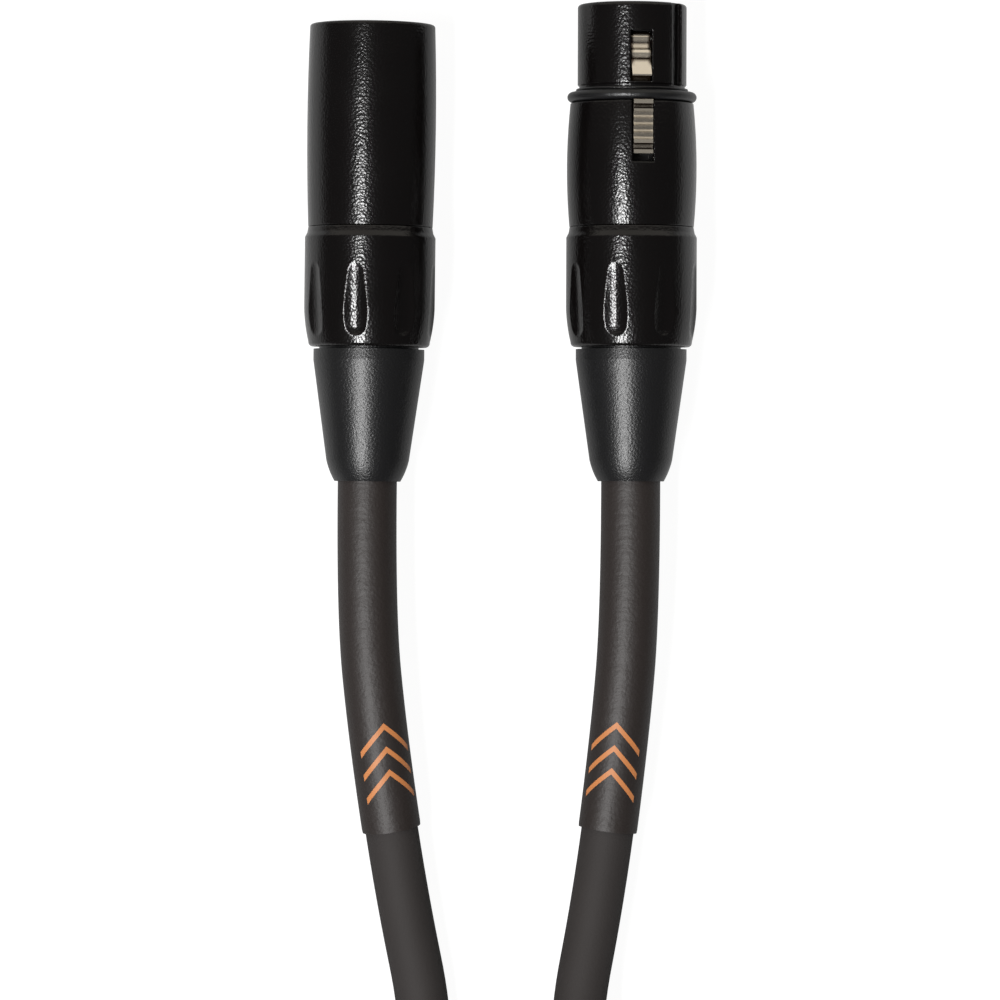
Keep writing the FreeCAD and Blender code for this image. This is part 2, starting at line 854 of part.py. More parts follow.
def hank_runs():
    """Each run of the hank: its side, its column, and its layer at the start and at the end.

    Two layers spiral in, then out, twice; a run climbs where the spiral turns back.
    """
    runs = []
    for pair in (0, 2):
        runs += [(-1, 1, pair, pair), (1, 1, pair, pair), (-1, 0, pair, pair), (1, 0, pair, pair + 1)]
        runs += [(-1, 0, pair + 1, pair + 1), (1, 1, pair + 1, pair + 1)]
    # the second pair starts on the run that climbs from the first
    side, column, _, layer = runs[6]
    runs[6] = (side, column, layer - 1, layer)
    return runs


def hank_stations():
    """Points of the hank with their headings and the share of each step taken by its first arc."""
    step, fold = SIZES["hank_step"], SIZES["hank_inner_fold"]
    top, low = SIZES["hank_top"], SIZES["hank_top"] - SIZES["hank_run"]
    middle, half = (top + low) / 2, SIZES["hank_waist_half"]
    drawn = fold - SIZES["hank_waist_column"]
    reach = (SIZES["hank_run"] / 2) - half
    bend = (reach**2 + drawn**2) / (2 * drawn)
    stations = []
    for side, column, layer, next_layer in hank_runs():
        wide = side * (fold + column * step)
        narrow = wide - side * drawn
        first, last = (top, low) if side < 0 else (low, top)
        heading = Vector(0, -1 if side < 0 else 1, 0)
        entry, leave = (middle + half, middle - half) if side < 0 else (middle - half, middle + half)
        level = SIZES["cable_radius"] + layer * step
        after = SIZES["cable_radius"] + next_layer * step
        waist = (level + after) / 2 + SIZES["hank_lift"]
        share = 0.5 + column * step / bend
        stations += [
            (Vector(wide, first, level), heading, share),
            (Vector(narrow, entry, waist), heading, None),
            (Vector(narrow, leave, waist), heading, 1.0 - share),
            (Vector(wide, last, after), heading, "fold"),
        ]
    return stations


def hank_wire():
    edges = []
    stations = hank_stations()
    for (start, heading, share), (end, _, _) in zip(stations, stations[1:]):
        if share is None:
            edges.append(Part.LineSegment(start, end))
            continue
        if share == "fold":
            quarter = (start + end) * 0.5 + heading * ((end - start).Length / 2)
            edges.append(Part.Arc(start, quarter, end))
            continue
        joint = start + (end - start) * share
        first, turned = arc_from(start, heading, joint)
        second, _ = arc_from(joint, turned, end)
        edges += [first, second]
    return Part.Wire([edge.toShape() for edge in edges])


def least_gap(wire, diameter):
    """Least gap between stretches of the hank that aren't neighbours along it, on points."""
    pace = 2.0
    points = wire.discretize(Distance=pace)
    apart = int(2.5 * diameter / pace)
    cells = {}
    for index, point in enumerate(points):
        cell = tuple(int(math.floor(c / diameter / 1.5)) for c in point)
        cells.setdefault(cell, []).append(index)
    least = 1e9
    for (a, b, c), members in cells.items():
        near = [
            i
            for x in (a - 1, a, a + 1)
            for y in (b - 1, b, b + 1)
            for z in (c - 1, c, c + 1)
            for i in cells.get((x, y, z), [])
        ]
        for one in members:
            for other in near:
                if other - one > apart:
                    least = min(least, points[one].distanceToPoint(points[other]))
    return least - diameter


def make_leads():
    for label, route in (("cable_male_lead", MALE_LEAD), ("cable_female_lead", FEMALE_LEAD)):
        points = [Vector(*p) for p in route]
        wire = rounded_route(points, 2 * SIZES["cable_radius"], label)
        feature(label, swept(wire, SIZES["cable_radius"]))


def make_sleeve(label, route, length):
    """Shrunk sleeve over the first stretch of the lead, from just inside the boot."""
    points = [Vector(*p) for p in route]
    heading = (points[0] - points[1]).normalize()
    wire = rounded_route(points[:5], 2 * SIZES["cable_radius"], label)
    inside = points[0] + heading * 5.0
    edges = [Part.LineSegment(inside, points[0]).toShape()]
    gone = 0.0
    for edge in wire.OrderedEdges:
        if gone + edge.Length < length:
            edges.append(edge)
            gone += edge.Length
            continue
        stop = edge.getParameterByLength(length - gone)
        edges.append(edge.Curve.toShape(edge.FirstParameter, stop))
        break
    feature(label, swept(Part.Wire(edges), SIZES["sleeve_radius"], SIZES["sleeve_bore"]))


def make_hank():
    wire = hank_wire()
    diameter = 2 * SIZES["cable_radius"]
    print(f"cable_hank: least gap to itself {least_gap(wire, diameter):.2f} mm")
    feature("cable_hank", swept(wire, SIZES["cable_radius"]))


def rounded_box_wire(half_width, bottom, top, corner, station):
    """A rounded rectangle square to Y."""
    edges = []
    corners = [
        (half_width, bottom, 1, -1),
        (half_width, top, 1, 1),
        (-half_width, top, -1, 1),
        (-half_width, bottom, -1, -1),
    ]
    spots = []
    for x, z, out, up in corners:
        centre = Vector(x - out * corner, station, z - up * corner)
        along = Vector(out * corner, 0, 0)
        above = Vector(0, 0, up * corner)
        middle = centre + (along + above) * math.sqrt(0.5)
        first, last = (centre + above, centre + along)
        if out * up < 0:
            spots.append((first, middle, last))
        else:
            spots.append((last, middle, first))
    for n, (first, middle, last) in enumerate(spots):
        edges.append(Part.Arc(first, middle, last).toShape())
        edges.append(Part.LineSegment(last, spots[(n + 1) % 4][0]).toShape())
    return Part.Wire(edges)


def make_tie():
    """Hook-and-loop strap round the hank's waist, with its end laid over on top."""
    step, thick = SIZES["hank_step"], SIZES["tie_thickness"]
    radius, room = SIZES["cable_radius"], 0.2
    half = SIZES["hank_waist_column"] + step + radius + room
    low = SIZES["hank_lift"] - room
    high = SIZES["hank_lift"] + 2 * radius + 3 * step + room
    station = SIZES["hank_top"] - SIZES["hank_run"] / 2 + SIZES["tie_width"] / 2
    inner = rounded_box_wire(half, low, high, radius, station)
    outer = rounded_box_wire(half + thick, low - thick, high + thick, radius + thick, station)
    length = Vector(0, -SIZES["tie_width"], 0)
    ring = Part.Face([outer, inner]).extrude(length)
    if ring.Volume < 0 or not ring.isValid():
        ring = Part.Face(outer).extrude(length).cut(Part.Face(inner).extrude(length))
    tail = Part.makeBox(half * 1.15, SIZES["tie_width"], thick)
    tail.translate(Vector(-half * 0.75, station - SIZES["tie_width"], high + thick))
    feature("hank_tie", ring.fuse(tail).removeSplitter())


make_male_shell()
make_male_insert()
for pole, turn in zip(("ground", "hot", "cold"), CONTACT_ANGLES):
    make_male_pin(f"male_pin_{pole}", turn)
make_female_shell()
make_gasket()
make_female_insert()
for pole, turn in zip(("ground", "hot", "cold"), CONTACT_ANGLES):
    make_female_contact(f"female_contact_{pole}", turn)
make_latch()
make_latch_pin()
make_latch_spring()
for side, plug, skirt in (("male", MALE, "male_skirt"), ("female", FEMALE, "female_skirt")):
    make_chuck(f"{side}_cable_clamp", plug)
    make_collar(f"{side}_collar", plug, SIZES[f"{side}_flute_roll"])
    make_boot(f"{side}_boot", plug)
    make_cable_end(f"{side}_cable_end", plug)
    for pole, turn in zip(("ground", "hot", "cold"), CONTACT_ANGLES):
        make_core(f"{side}_core_{pole}", plug, turn, SIZES[skirt] - 5.5)
make_leads()
make_sleeve("male_sleeve", MALE_LEAD, SIZES["sleeve_length"])
make_sleeve("female_sleeve", FEMALE_LEAD, SIZES["sleeve_length"])
make_hank()
make_tie()
doc.recompute()

# Every object has to be sound before anything is written


def finished_parts():
    for item in doc.Objects:
        if {"Invalid", "Error"} & set(item.State):
            raise RuntimeError(f"{item.Label} did not recompute: {item.State}")
    parts = [o for o in doc.Objects if o.TypeId in ("PartDesign::Body", "Part::Feature")]
    for part in parts:
        if part.Shape.isNull() or not part.Shape.isValid():
            raise RuntimeError(f"{part.Label} has no sound shape")
    return parts


os.makedirs("parts", exist_ok=True)
for part in finished_parts():
    part.Shape.exportStep(f"parts/{part.Label}.step")
    print(f"{part.Label}: {len(part.Shape.Solids)} solid, {part.Shape.Volume:.1f} mm3")
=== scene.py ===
import json
import math

import bpy
from bpy.props import FloatProperty, FloatVectorProperty, IntProperty, PointerProperty
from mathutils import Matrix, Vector

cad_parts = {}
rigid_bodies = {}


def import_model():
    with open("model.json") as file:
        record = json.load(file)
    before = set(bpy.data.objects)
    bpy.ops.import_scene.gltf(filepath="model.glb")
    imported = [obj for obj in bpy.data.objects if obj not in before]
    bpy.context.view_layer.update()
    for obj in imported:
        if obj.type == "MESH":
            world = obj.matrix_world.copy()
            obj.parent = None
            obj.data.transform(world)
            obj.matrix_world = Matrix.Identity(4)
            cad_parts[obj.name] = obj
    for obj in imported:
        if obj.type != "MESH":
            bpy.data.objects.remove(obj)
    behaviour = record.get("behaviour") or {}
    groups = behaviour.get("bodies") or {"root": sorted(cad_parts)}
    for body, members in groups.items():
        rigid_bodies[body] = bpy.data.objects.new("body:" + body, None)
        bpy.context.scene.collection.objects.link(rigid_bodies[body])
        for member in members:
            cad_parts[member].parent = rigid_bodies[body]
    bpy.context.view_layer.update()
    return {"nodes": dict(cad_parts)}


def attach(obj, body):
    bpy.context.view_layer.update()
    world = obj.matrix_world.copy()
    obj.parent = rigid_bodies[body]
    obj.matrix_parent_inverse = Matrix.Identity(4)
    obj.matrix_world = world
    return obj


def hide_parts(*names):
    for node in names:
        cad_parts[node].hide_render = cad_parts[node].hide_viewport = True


bl_info = {
    "name": "Microphone Cable",
    "version": (1, 0, 0),
    "blender": (4, 5, 0),
    "location": "View3D > Sidebar > Cable",
    "description": "Dresses the packed microphone cable: plugs, sleeves, cable and hank",
    "category": "Object",
}

MM = 0.001
POLES = ("ground", "hot", "cold")
SIDES = ("male", "female")

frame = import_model()

# The leads' routes in millimetres, as in the source, from each boot's mouth to the hank

MALE_LEAD = [
    (-19.56, -34.9, 9.6),
    (-19.79, -54.0, 9.6),
    (-18.1, -72.0, 8.0),
    (-14.8, -95.0, 5.2),
    (-10.3, -117.0, 3.9),
    (-13.1, -134.3, 3.9),
    (-25.2, -152.6, 3.9),
    (-31.7, -170.0, 3.9),
]
FEMALE_LEAD = [
    (19.15, -34.9, 9.6),
    (19.09, -54.0, 9.6),
    (17.6, -72.0, 8.0),
    (14.7, -95.0, 6.6),
    (10.4, -117.0, 8.8),
    (13.4, -134.0, 16.0),
    (25.4, -152.0, 26.0),
    (31.7, -169.0, 28.8),
]


# Settings


def linear(code):
    """An sRGB hex value as linear red, green and blue."""
    parts = [int(code[i : i + 2], 16) / 255.0 for i in (1, 3, 5)]
    return tuple(p / 12.92 if p <= 0.04045 else ((p + 0.055) / 1.055) ** 2.4 for p in parts)


def colour_property(name, default):
    return FloatVectorProperty(
        name=name,
        description=f"{name} of the real surface, in linear light",
        subtype="COLOR",
        size=3,
        min=0.0,
        max=1.0,
        default=linear(default),
    )


def length_property(name, description, millimetres):
    return FloatProperty(
        name=name, description=description, default=millimetres * MM, unit="LENGTH"
    )


class CableSizes(bpy.types.PropertyGroup):
    """Sizes of the cable, its sleeves, the hank and its tie."""

    radius: length_property("Cable radius", "Half the jacket's diameter", 3.9)
    sleeve_radius: length_property("Sleeve radius", "Outside of the shrunk sleeve", 4.35)
    sleeve_length: length_property("Sleeve length", "From the boot's mouth", 51.5)
    hank_fold: length_property("Inner fold", "Radius of the hank's inner folds", 23.4)
    hank_step: length_property("Step", "From one turn of the hank to the next", 8.3)
    hank_top: length_property("Hank top", "Where the upper folds begin", -183.0)
    hank_run: length_property("Hank run", "Length between the folds", 100.65)
    waist_half: length_property("Waist", "Half the straight stretch at the tie", 11.0)
    waist_column: length_property("Waist column", "Inner column's place at the tie", 13.4)
    lift: length_property("Lift", "Room for the tie under the waist", 1.4)
    tie_width: length_property("Tie width", "Width of the hook-and-loop tie", 18.0)
    tie_thickness: length_property("Tie thickness", "Thickness of the tie", 1.1)
    fold_points: IntProperty(
        name="Fold points", description="Control points in each fold", default=5, min=4, max=9
    )


class FinishColours(bpy.types.PropertyGroup):
    """Colours of the finishes."""

    lacquer: colour_property("Lacquer", "#090707")
    boot: colour_property("Boot rubber", "#151516")
    sleeve: colour_property("Sleeve", "#231d1b")
    jacket: colour_property("Jacket", "#2a2625")
    mark: colour_property("Chevron ink", "#be7844")
    nickel: colour_property("Nickel", "#f7ecda")
    gold: colour_property("Gold", "#e3c07a")


class StageSettings(bpy.types.PropertyGroup):
    """Camera and light."""

    camera_height: FloatProperty(
        name="Camera height", description="Above the surface", default=0.8866, unit="LENGTH"
    )
    lens: FloatProperty(name="Lens", description="Focal length", default=214.8, unit="CAMERA")
    key_power: FloatProperty(
        name="Key", description="Strip light's power in watts", default=15.0, min=0.0
    )
    sky: FloatProperty(name="Sky", description="Even light from all round", default=0.07, min=0.0)
    wall: FloatProperty(
        name="Wall", description="Light of the wall in front", default=0.62, min=0.0
    )


# Nodes


def add(tree, kind, inputs=None, **settings):
    """Adds a node with its settings; an input is a value or the socket that feeds it."""
    node = tree.nodes.new(kind)
    for name, value in settings.items():
        setattr(node, name, value)
    for name, value in (inputs or {}).items():
        if isinstance(value, bpy.types.NodeSocket):
            tree.links.new(value, node.inputs[name])
        else:
            node.inputs[name].default_value = value
    return node


def per_mm(size):
    """The texture scale that gives a feature of this size in millimetres."""
    return 1.0 / (size * MM)


def rgba(colour):
    return (*colour, 1.0)


def noise(tree, place, size, detail):
    """Noise from 0 to 1, with features of this size in millimetres."""
    inputs = {"Vector": place, "Scale": per_mm(size), "Detail": detail}
    return add(tree, "ShaderNodeTexNoise", inputs).outputs["Fac"]


def squeeze(tree, place, shares):
    """Coordinates scaled by axis; a share under 1 draws a texture out along its axis."""
    inputs = {"Vector": place, "Scale": shares}
    return add(tree, "ShaderNodeMapping", inputs, vector_type="POINT").outputs["Vector"]


def work_out(tree, operation, *values):
    """The result of a sum; each value is a number or a socket."""
    return add(tree, "ShaderNodeMath", dict(enumerate(values)), operation=operation).outputs["Value"]


def ramp(tree, value, span, result=(0.0, 1.0)):
    """A socket's span of values mapped to another one, and held at its ends."""
    ends = {"From Min": span[0], "From Max": span[1], "To Min": result[0], "To Max": result[1]}
    return add(tree, "ShaderNodeMapRange", {"Value": value, **ends}).outputs["Result"]


def blend(tree, factor, first, second):
    """A colour between two, by a socket."""
    inputs = {"Factor": factor, "A": rgba(first), "B": rgba(second)}
    return add(tree, "ShaderNodeMix", inputs, data_type="RGBA").outputs["Result"]


def emboss(tree, shader, height, depth, strength=1.0, normal=None):
    """Raises a surface by a socket, up to this many millimetres."""
    inputs = {"Height": height, "Strength": strength, "Distance": depth * MM}
    if normal is not None:
        inputs["Normal"] = normal
    bump = add(tree, "ShaderNodeBump", inputs)
    tree.links.new(bump.outputs["Normal"], shader.inputs["Normal"])


def start_material(name, colour, **values):
    """A material with its shader's constants set, its tree, shader and object coordinates."""
    material = bpy.data.materials.new(name)
    material.use_nodes = True
    tree = material.node_tree
    shader = tree.nodes["Principled BSDF"]
    shader.inputs["Base Color"].default_value = rgba(colour)
    for key, value in values.items():
        shader.inputs[key.replace("_", " ")].default_value = value
    place = add(tree, "ShaderNodeTexCoord").outputs["Object"]
    return material, tree, shader, place


# Materials


def lacquered_zinc(colour):
    """Cast zinc under stoved black lacquer: half gloss, with a fine leathery grain of 0.4 mm."""
    material, tree, shader, place = start_material(
        "stoved lacquer on cast zinc", colour, Roughness=0.25, IOR=1.52
    )
    grain = add(tree, "ShaderNodeTexVoronoi", {"Vector": place, "Scale": per_mm(0.38)})
    grit = noise(tree, place, 0.3, 3.0)
    both = work_out(tree, "MULTIPLY_ADD", grit, 0.5, grain.outputs["Distance"])
    # a thick lacquer rounds each edge off, which shows along the flutes' rims
    rounded = add(tree, "ShaderNodeBevel", {"Radius": 0.35 * MM}, samples=8).outputs["Normal"]
    emboss(tree, shader, both, 0.026, normal=rounded)
    # the lacquer lies a little thicker here and there, which shifts its gloss
    gloss = ramp(tree, noise(tree, place, 6.0, 2.0), (0.0, 1.0), (0.16, 0.23))
    tree.links.new(gloss, shader.inputs["Roughness"])
    return material


def moulded_rubber(colour):
    """Moulded rubber: matte, with the mould's fine spark-eroded texture."""
    material, tree, shader, place = start_material(
        "moulded bend-relief rubber", colour, Roughness=0.34, IOR=1.5
    )
    emboss(tree, shader, noise(tree, place, 0.3, 4.0), 0.06)
    return material


def shrunk_sleeve(colour):
    """Heat-shrunk polyolefin: satin, with faint creases across where it drew tight."""
    material, tree, shader, place = start_material(
        "heat-shrunk polyolefin", colour, Roughness=0.54, IOR=1.5
    )
    creases = noise(tree, squeeze(tree, place, (0.35, 1.0, 0.35)), 1.6, 3.0)
    both = work_out(tree, "MULTIPLY_ADD", noise(tree, place, 0.5, 3.0), 0.5, creases)
    emboss(tree, shader, both, 0.12)
    return material


def extruded_jacket(colour):
    """Extruded matte PVC jacket: a fine skin with a soft mottled bloom."""
    material, tree, shader, place = start_material(
        "extruded matte pvc jacket", colour, Roughness=0.78, IOR=1.45
    )
    darker = tuple(0.82 * c for c in colour)
    bloom = blend(tree, noise(tree, place, 7.0, 2.0), darker, colour)
    tree.links.new(bloom, shader.inputs["Base Color"])
    emboss(tree, shader, noise(tree, place, 0.4, 4.0), 0.05, 0.8)
    return material


def screen_ink(colour):
    """Screen-printed ink: flat and a little chalky, and thinner here and there."""
    material, tree, shader, place = start_material(
        "screen-printed ink", colour, Roughness=0.55, IOR=1.5
    )
    thin = tuple(0.86 * c for c in colour)
    mottle = blend(tree, noise(tree, place, 0.25, 3.0), thin, colour)
    tree.links.new(mottle, shader.inputs["Base Color"])
    return material


def plated_metal(name, colour, roughness, mark, metallic=1.0, groove_shade=None):
    """Plated metal, with the fine lines that forming or turning leaves under the plating."""
    material, tree, shader, place = start_material(
        name, colour, Metallic=metallic, Roughness=roughness
    )
    if groove_shade:
        # painted shade: where ambient occlusion finds grooves and corners, the colour darkens
        # towards the shade colour, and the ridges keep the metal's own colour
        hollow = add(tree, "ShaderNodeAmbientOcclusion", {"Distance": 0.7 * MM}, samples=8)
        bright = ramp(tree, hollow.outputs["AO"], (0.82, 0.99))
        tree.links.new(blend(tree, bright, groove_shade, colour), shader.inputs["Base Color"])
    lines = noise(tree, squeeze(tree, place, (0.08, 1.0, 1.0)), 0.2, 3.0)
    emboss(tree, shader, lines, 0.012, mark)
    return material


def moulded_plastic(name, colour, roughness=0.4):
    """Injection-moulded plastic: even, with the faint texture of the mould."""
    material, tree, shader, place = start_material(name, colour, Roughness=roughness, IOR=1.5)
    emboss(tree, shader, noise(tree, place, 0.25, 3.0), 0.02, 0.3)
    return material


def woven_strap(colour):
    """Woven nylon tape with hooks and loops: ribs across it and a fuzzy, lightless surface."""
    material, tree, shader, place = start_material(
        "woven nylon hook-and-loop tape", colour, Roughness=0.9, IOR=1.5, Sheen_Weight=0.25
    )
    # a wave texture has 20 / tau waves to a unit of length
    rib_scale = per_mm(1.7765) * math.tau / 20
    rib = add(
        tree,
        "ShaderNodeTexWave",
        {"Vector": place, "Scale": rib_scale, "Distortion": 1.5, "Detail": 2.0},
        bands_direction="Y",
    )
    both = work_out(tree, "MULTIPLY_ADD", noise(tree, place, 0.3, 4.0), 0.8, rib.outputs["Fac"])
    emboss(tree, shader, both, 0.15, 0.8)
    return material


def dress(piece, material):
    """Gives a piece one material all over."""
    piece.data.materials.clear()
    piece.data.materials.append(material)


def dress_nodes(names, material):
    for name in names:
        dress(frame["nodes"][name], material)


# Meshes and lines


def new_piece(name, vertices, faces, smooth_below=40.0):
    """A mesh object, shaded smooth but for the edges sharper than an angle in degrees."""
    mesh = bpy.data.meshes.new(name)
    mesh.from_pydata([tuple(v) for v in vertices], [], faces)
    mesh.validate()
    mesh.shade_smooth()
    mesh.set_sharp_from_angle(angle=math.radians(smooth_below))
    piece = bpy.data.objects.new(name, mesh)
    bpy.context.scene.collection.objects.link(piece)
    return piece


def line_of(cord):
    """The points of a cord's own spline, from its exit."""
    depth = cord.data.bevel_depth
    cord.data.bevel_depth = 0.0
    bpy.context.view_layer.update()
    mesh = bpy.data.meshes.new_from_object(cord)
    points = [v.co.copy() for v in mesh.vertices]
    bpy.data.meshes.remove(mesh)
    cord.data.bevel_depth = depth
    return points


def routes():
    """The cable's line as it leaves each plug."""
    line = line_of(bpy.data.objects["cable"])
    return {"male": line, "female": line[::-1]}


def stretch(points, first, last, pace):
    """Evenly paced points of a line between two distances; a negative one runs on straight."""
    marks = [0.0]
    for a, b in zip(points, points[1:]):
        marks.append(marks[-1] + (b - a).length)
    count = max(2, int((last - first) / pace))
    found = []
    for n in range(count + 1):
        distance = first + (last - first) * n / count
        if distance < 0:
            found.append(points[0] + (points[1] - points[0]).normalized() * distance)
            continue
        index = next(i for i in range(1, len(marks)) if marks[i] >= distance)
        share = (distance - marks[index - 1]) / max(marks[index] - marks[index - 1], 1e-9)
        found.append(points[index - 1].lerp(points[index], share))
    return found


def heading(points, n):
    """A line's direction at one of its points, from the point before it to the one after."""
    return (points[min(n + 1, len(points) - 1)] - points[max(n - 1, 0)]).normalized()


def level_frames(points):
    """For each point of a line: the way up from the line and the way to its right."""
    frames = []
    for n in range(len(points)):
        ahead = heading(points, n)
        side = ahead.cross(Vector((0, 0, 1))).normalized()
        frames.append((side.cross(ahead).normalized(), side))
    return frames


# The stage


class PLUGS_OT_set_stage(bpy.types.Operator):
    """Camera over the plugs, white ground and studio light"""

    bl_idname = "plugs.set_stage"
    bl_label = "Stage"

    UNDER_CAMERA = (-0.06 * MM, -37.64 * MM)
    SENSOR_WIDTH = 36.0
    NEAREST_SEEN = 0.01
    FLOOR_HALF = 3.0
    STRIP_PLACE = (-0.295, -0.425, 0.92)
    STRIP_SIZE = (0.14, 0.8)
    # the ground's shade as paper that lights the plugs, and as the thin coat that keeps shadows
    PAPER = (0.85, 0.85, 0.85)
    THIN_COAT = (0.14, 0.14, 0.14)
    WHITE = (1.0, 1.0, 1.0)
    # the wall's green and blue, as shares of its red
    WALL_TINT = (0.95, 0.86)

    def execute(self, context):
        settings = context.scene.cable_stage
        self.place_camera(context, settings)
        self.lay_floor()
        self.hang_lamp(context, settings)
        self.light_room(context, settings)
        return {"FINISHED"}

    def place_camera(self, context, settings):
        camera = bpy.data.cameras.new("camera")
        camera.sensor_width = self.SENSOR_WIDTH
        camera.lens = settings.lens
        camera.clip_start = self.NEAREST_SEEN
        eye = bpy.data.objects.new("camera", camera)
        eye.location = (*self.UNDER_CAMERA, settings.camera_height)
        context.scene.collection.objects.link(eye)
        context.scene.camera = eye
        context.scene.view_settings.view_transform = "Standard"

    def lay_floor(self):
        """A white sheet, which glows where it is seen and keeps the cable's shadow."""
        half = self.FLOOR_HALF
        corners = [(-half, -half, 0), (half, -half, 0), (half, half, 0), (-half, half, 0)]
        floor = new_piece("floor", corners, [(0, 1, 2, 3)])
        material = bpy.data.materials.new("white paper ground")
        material.use_nodes = True
        tree = material.node_tree
        tree.nodes.clear()
        paper = add(tree, "ShaderNodeBsdfDiffuse", {"Color": rgba(self.PAPER)})
        thin = add(tree, "ShaderNodeBsdfDiffuse", {"Color": rgba(self.THIN_COAT)})
        light = {"Color": rgba(self.WHITE), "Strength": self.floor_strength(tree)}
        glow = add(tree, "ShaderNodeEmission", light)
        shown = add(tree, "ShaderNodeAddShader", {0: thin.outputs[0], 1: glow.outputs[0]})
        sides = {0: self.seen_rays(tree), 1: paper.outputs[0], 2: shown.outputs[0]}
        mixed = add(tree, "ShaderNodeMixShader", sides)
        add(tree, "ShaderNodeOutputMaterial", {"Surface": mixed.outputs[0]})
        dress(floor, material)

    def floor_strength(self, tree):
        """How much the sheet glows, by places and distances in metres."""
        place = add(tree, "ShaderNodeTexCoord").outputs["Object"]
        far = add(tree, "ShaderNodeVectorMath", {0: place}, operation="LENGTH").outputs["Value"]
        across = add(tree, "ShaderNodeSeparateXYZ", {0: place}).outputs["X"]
        # painted shadow: in a reflection the sheet's glow is dimmed between the plugs, where they
        # shade it; it also glows less far off
        sheet = ramp(tree, far, (0.07, 0.13), (0.45, 0.07))
        between = ramp(tree, work_out(tree, "ABSOLUTE", across), (0.008, 0.026), (0.6, 1.0))
        mirrored = work_out(tree, "MULTIPLY", sheet, between)
        # the camera sees it a little under white near the cable, and full white far off
        shown = ramp(tree, far, (0.4, 1.2), (0.95, 1.0))
        camera = add(tree, "ShaderNodeLightPath").outputs["Is Camera Ray"]
        inputs = {"Factor": camera, "A": mirrored, "B": shown}
        return add(tree, "ShaderNodeMix", inputs, data_type="FLOAT").outputs["Result"]

    def seen_rays(self, tree):
        """1 where a ray shows the surface: from the camera, or by way of gloss or glass."""
        path = add(tree, "ShaderNodeLightPath").outputs
        some = work_out(tree, "MAXIMUM", path["Is Camera Ray"], path["Is Glossy Ray"])
        return work_out(tree, "MAXIMUM", some, path["Is Transmission Ray"])

    def hang_lamp(self, context, settings):
        """A long strip light on the left, leaning towards the plugs."""
        light = bpy.data.lights.new("strip", "AREA")
        light.shape = "RECTANGLE"
        light.size, light.size_y = self.STRIP_SIZE
        light.energy = settings.key_power
        lamp = bpy.data.objects.new("strip", light)
        lamp.location = self.STRIP_PLACE
        across, _, height = self.STRIP_PLACE
        lamp.rotation_euler = (0, math.atan2(across, height), 0)
        context.scene.collection.objects.link(lamp)

    def light_room(self, context, settings):
        """A dim room with a pale, warm wall in front of the plugs; the camera sees it white."""
        world = bpy.data.worlds.new("room")
        context.scene.world = world
        world.use_nodes = True
        tree = world.node_tree
        tree.nodes.clear()
        towards = add(tree, "ShaderNodeTexCoord").outputs["Generated"]
        ahead = add(tree, "ShaderNodeSeparateXYZ", {0: towards}).outputs["Y"]
        dim, pale = settings.sky, settings.wall
        green, blue = self.WALL_TINT
        wall = ramp(tree, ahead, (0.28, 0.5))
        tint = blend(tree, wall, (dim, dim, dim), (pale, green * pale, blue * pale))
        around = add(tree, "ShaderNodeBackground", {"Color": tint, "Strength": 1.0})
        shown = add(tree, "ShaderNodeBackground", {"Color": rgba(self.WHITE), "Strength": 1.0})
        camera = add(tree, "ShaderNodeLightPath").outputs["Is Camera Ray"]
        sides = {0: camera, 1: around.outputs[0], 2: shown.outputs[0]}
        mixed = add(tree, "ShaderNodeMixShader", sides)
        add(tree, "ShaderNodeOutputWorld", {"Surface": mixed.outputs[0]})


# The cable


def hank_columns():
    """Each run of the hank: its side, column, and layers at its start and end."""
    runs = []
    for layer in (0, 2):
        runs += [(-1, 1, max(layer - 1, 0), layer), (1, 1, layer, layer)]
        runs += [(-1, 0, layer, layer), (1, 0, layer, layer + 1)]
        runs += [(-1, 0, layer + 1, layer + 1), (1, 1, layer + 1, layer + 1)]
    return runs


def hank_points(sizes):
    """Control points of the hank: each fold and each drawn-in run by its tangents."""
    middle = sizes.hank_top - sizes.hank_run / 2
    run_half = sizes.hank_run / 2
    drawn = sizes.hank_fold - sizes.waist_column
    reach = run_half - sizes.waist_half
    leg = (reach**2 + drawn**2) / (2 * reach)
    bend = (reach**2 + drawn**2) / (2 * drawn)
    spacing = math.pi / sizes.fold_points
    runs = hank_columns()
    points = []
    for number, (side, column, layer, after) in enumerate(runs):
        wide = side * (sizes.hank_fold + column * sizes.hank_step)
        narrow = wide - side * drawn
        share = 0.5 + column * sizes.hank_step / bend
        low = sizes.radius + layer * sizes.hank_step
        high = sizes.radius + after * sizes.hank_step
        waist = (low + high) / 2 + sizes.lift
        outer, inner = leg * share, leg * (1.0 - share)
        points += [
            Vector((wide, middle - side * (run_half - outer), low)),
            Vector((narrow, middle - side * (sizes.waist_half + inner), waist)),
            Vector((narrow, middle + side * (sizes.waist_half + inner), waist)),
            Vector((wide, middle + side * (run_half - outer), high)),
        ]
        if number + 1 == len(runs):
            break
        across = -side * (sizes.hank_fold + runs[number + 1][1] * sizes.hank_step)
        centre, radius = (wide + across) / 2, abs(wide - across) / 2
        end = middle + side * run_half
        out = radius / math.cos(spacing / 2)
        for n in range(sizes.fold_points):
            turn = (n + 0.5) * spacing
            x, y = centre + side * out * math.cos(turn), end + side * out * math.sin(turn)
            points.append(Vector((x, y, high)))
    return points


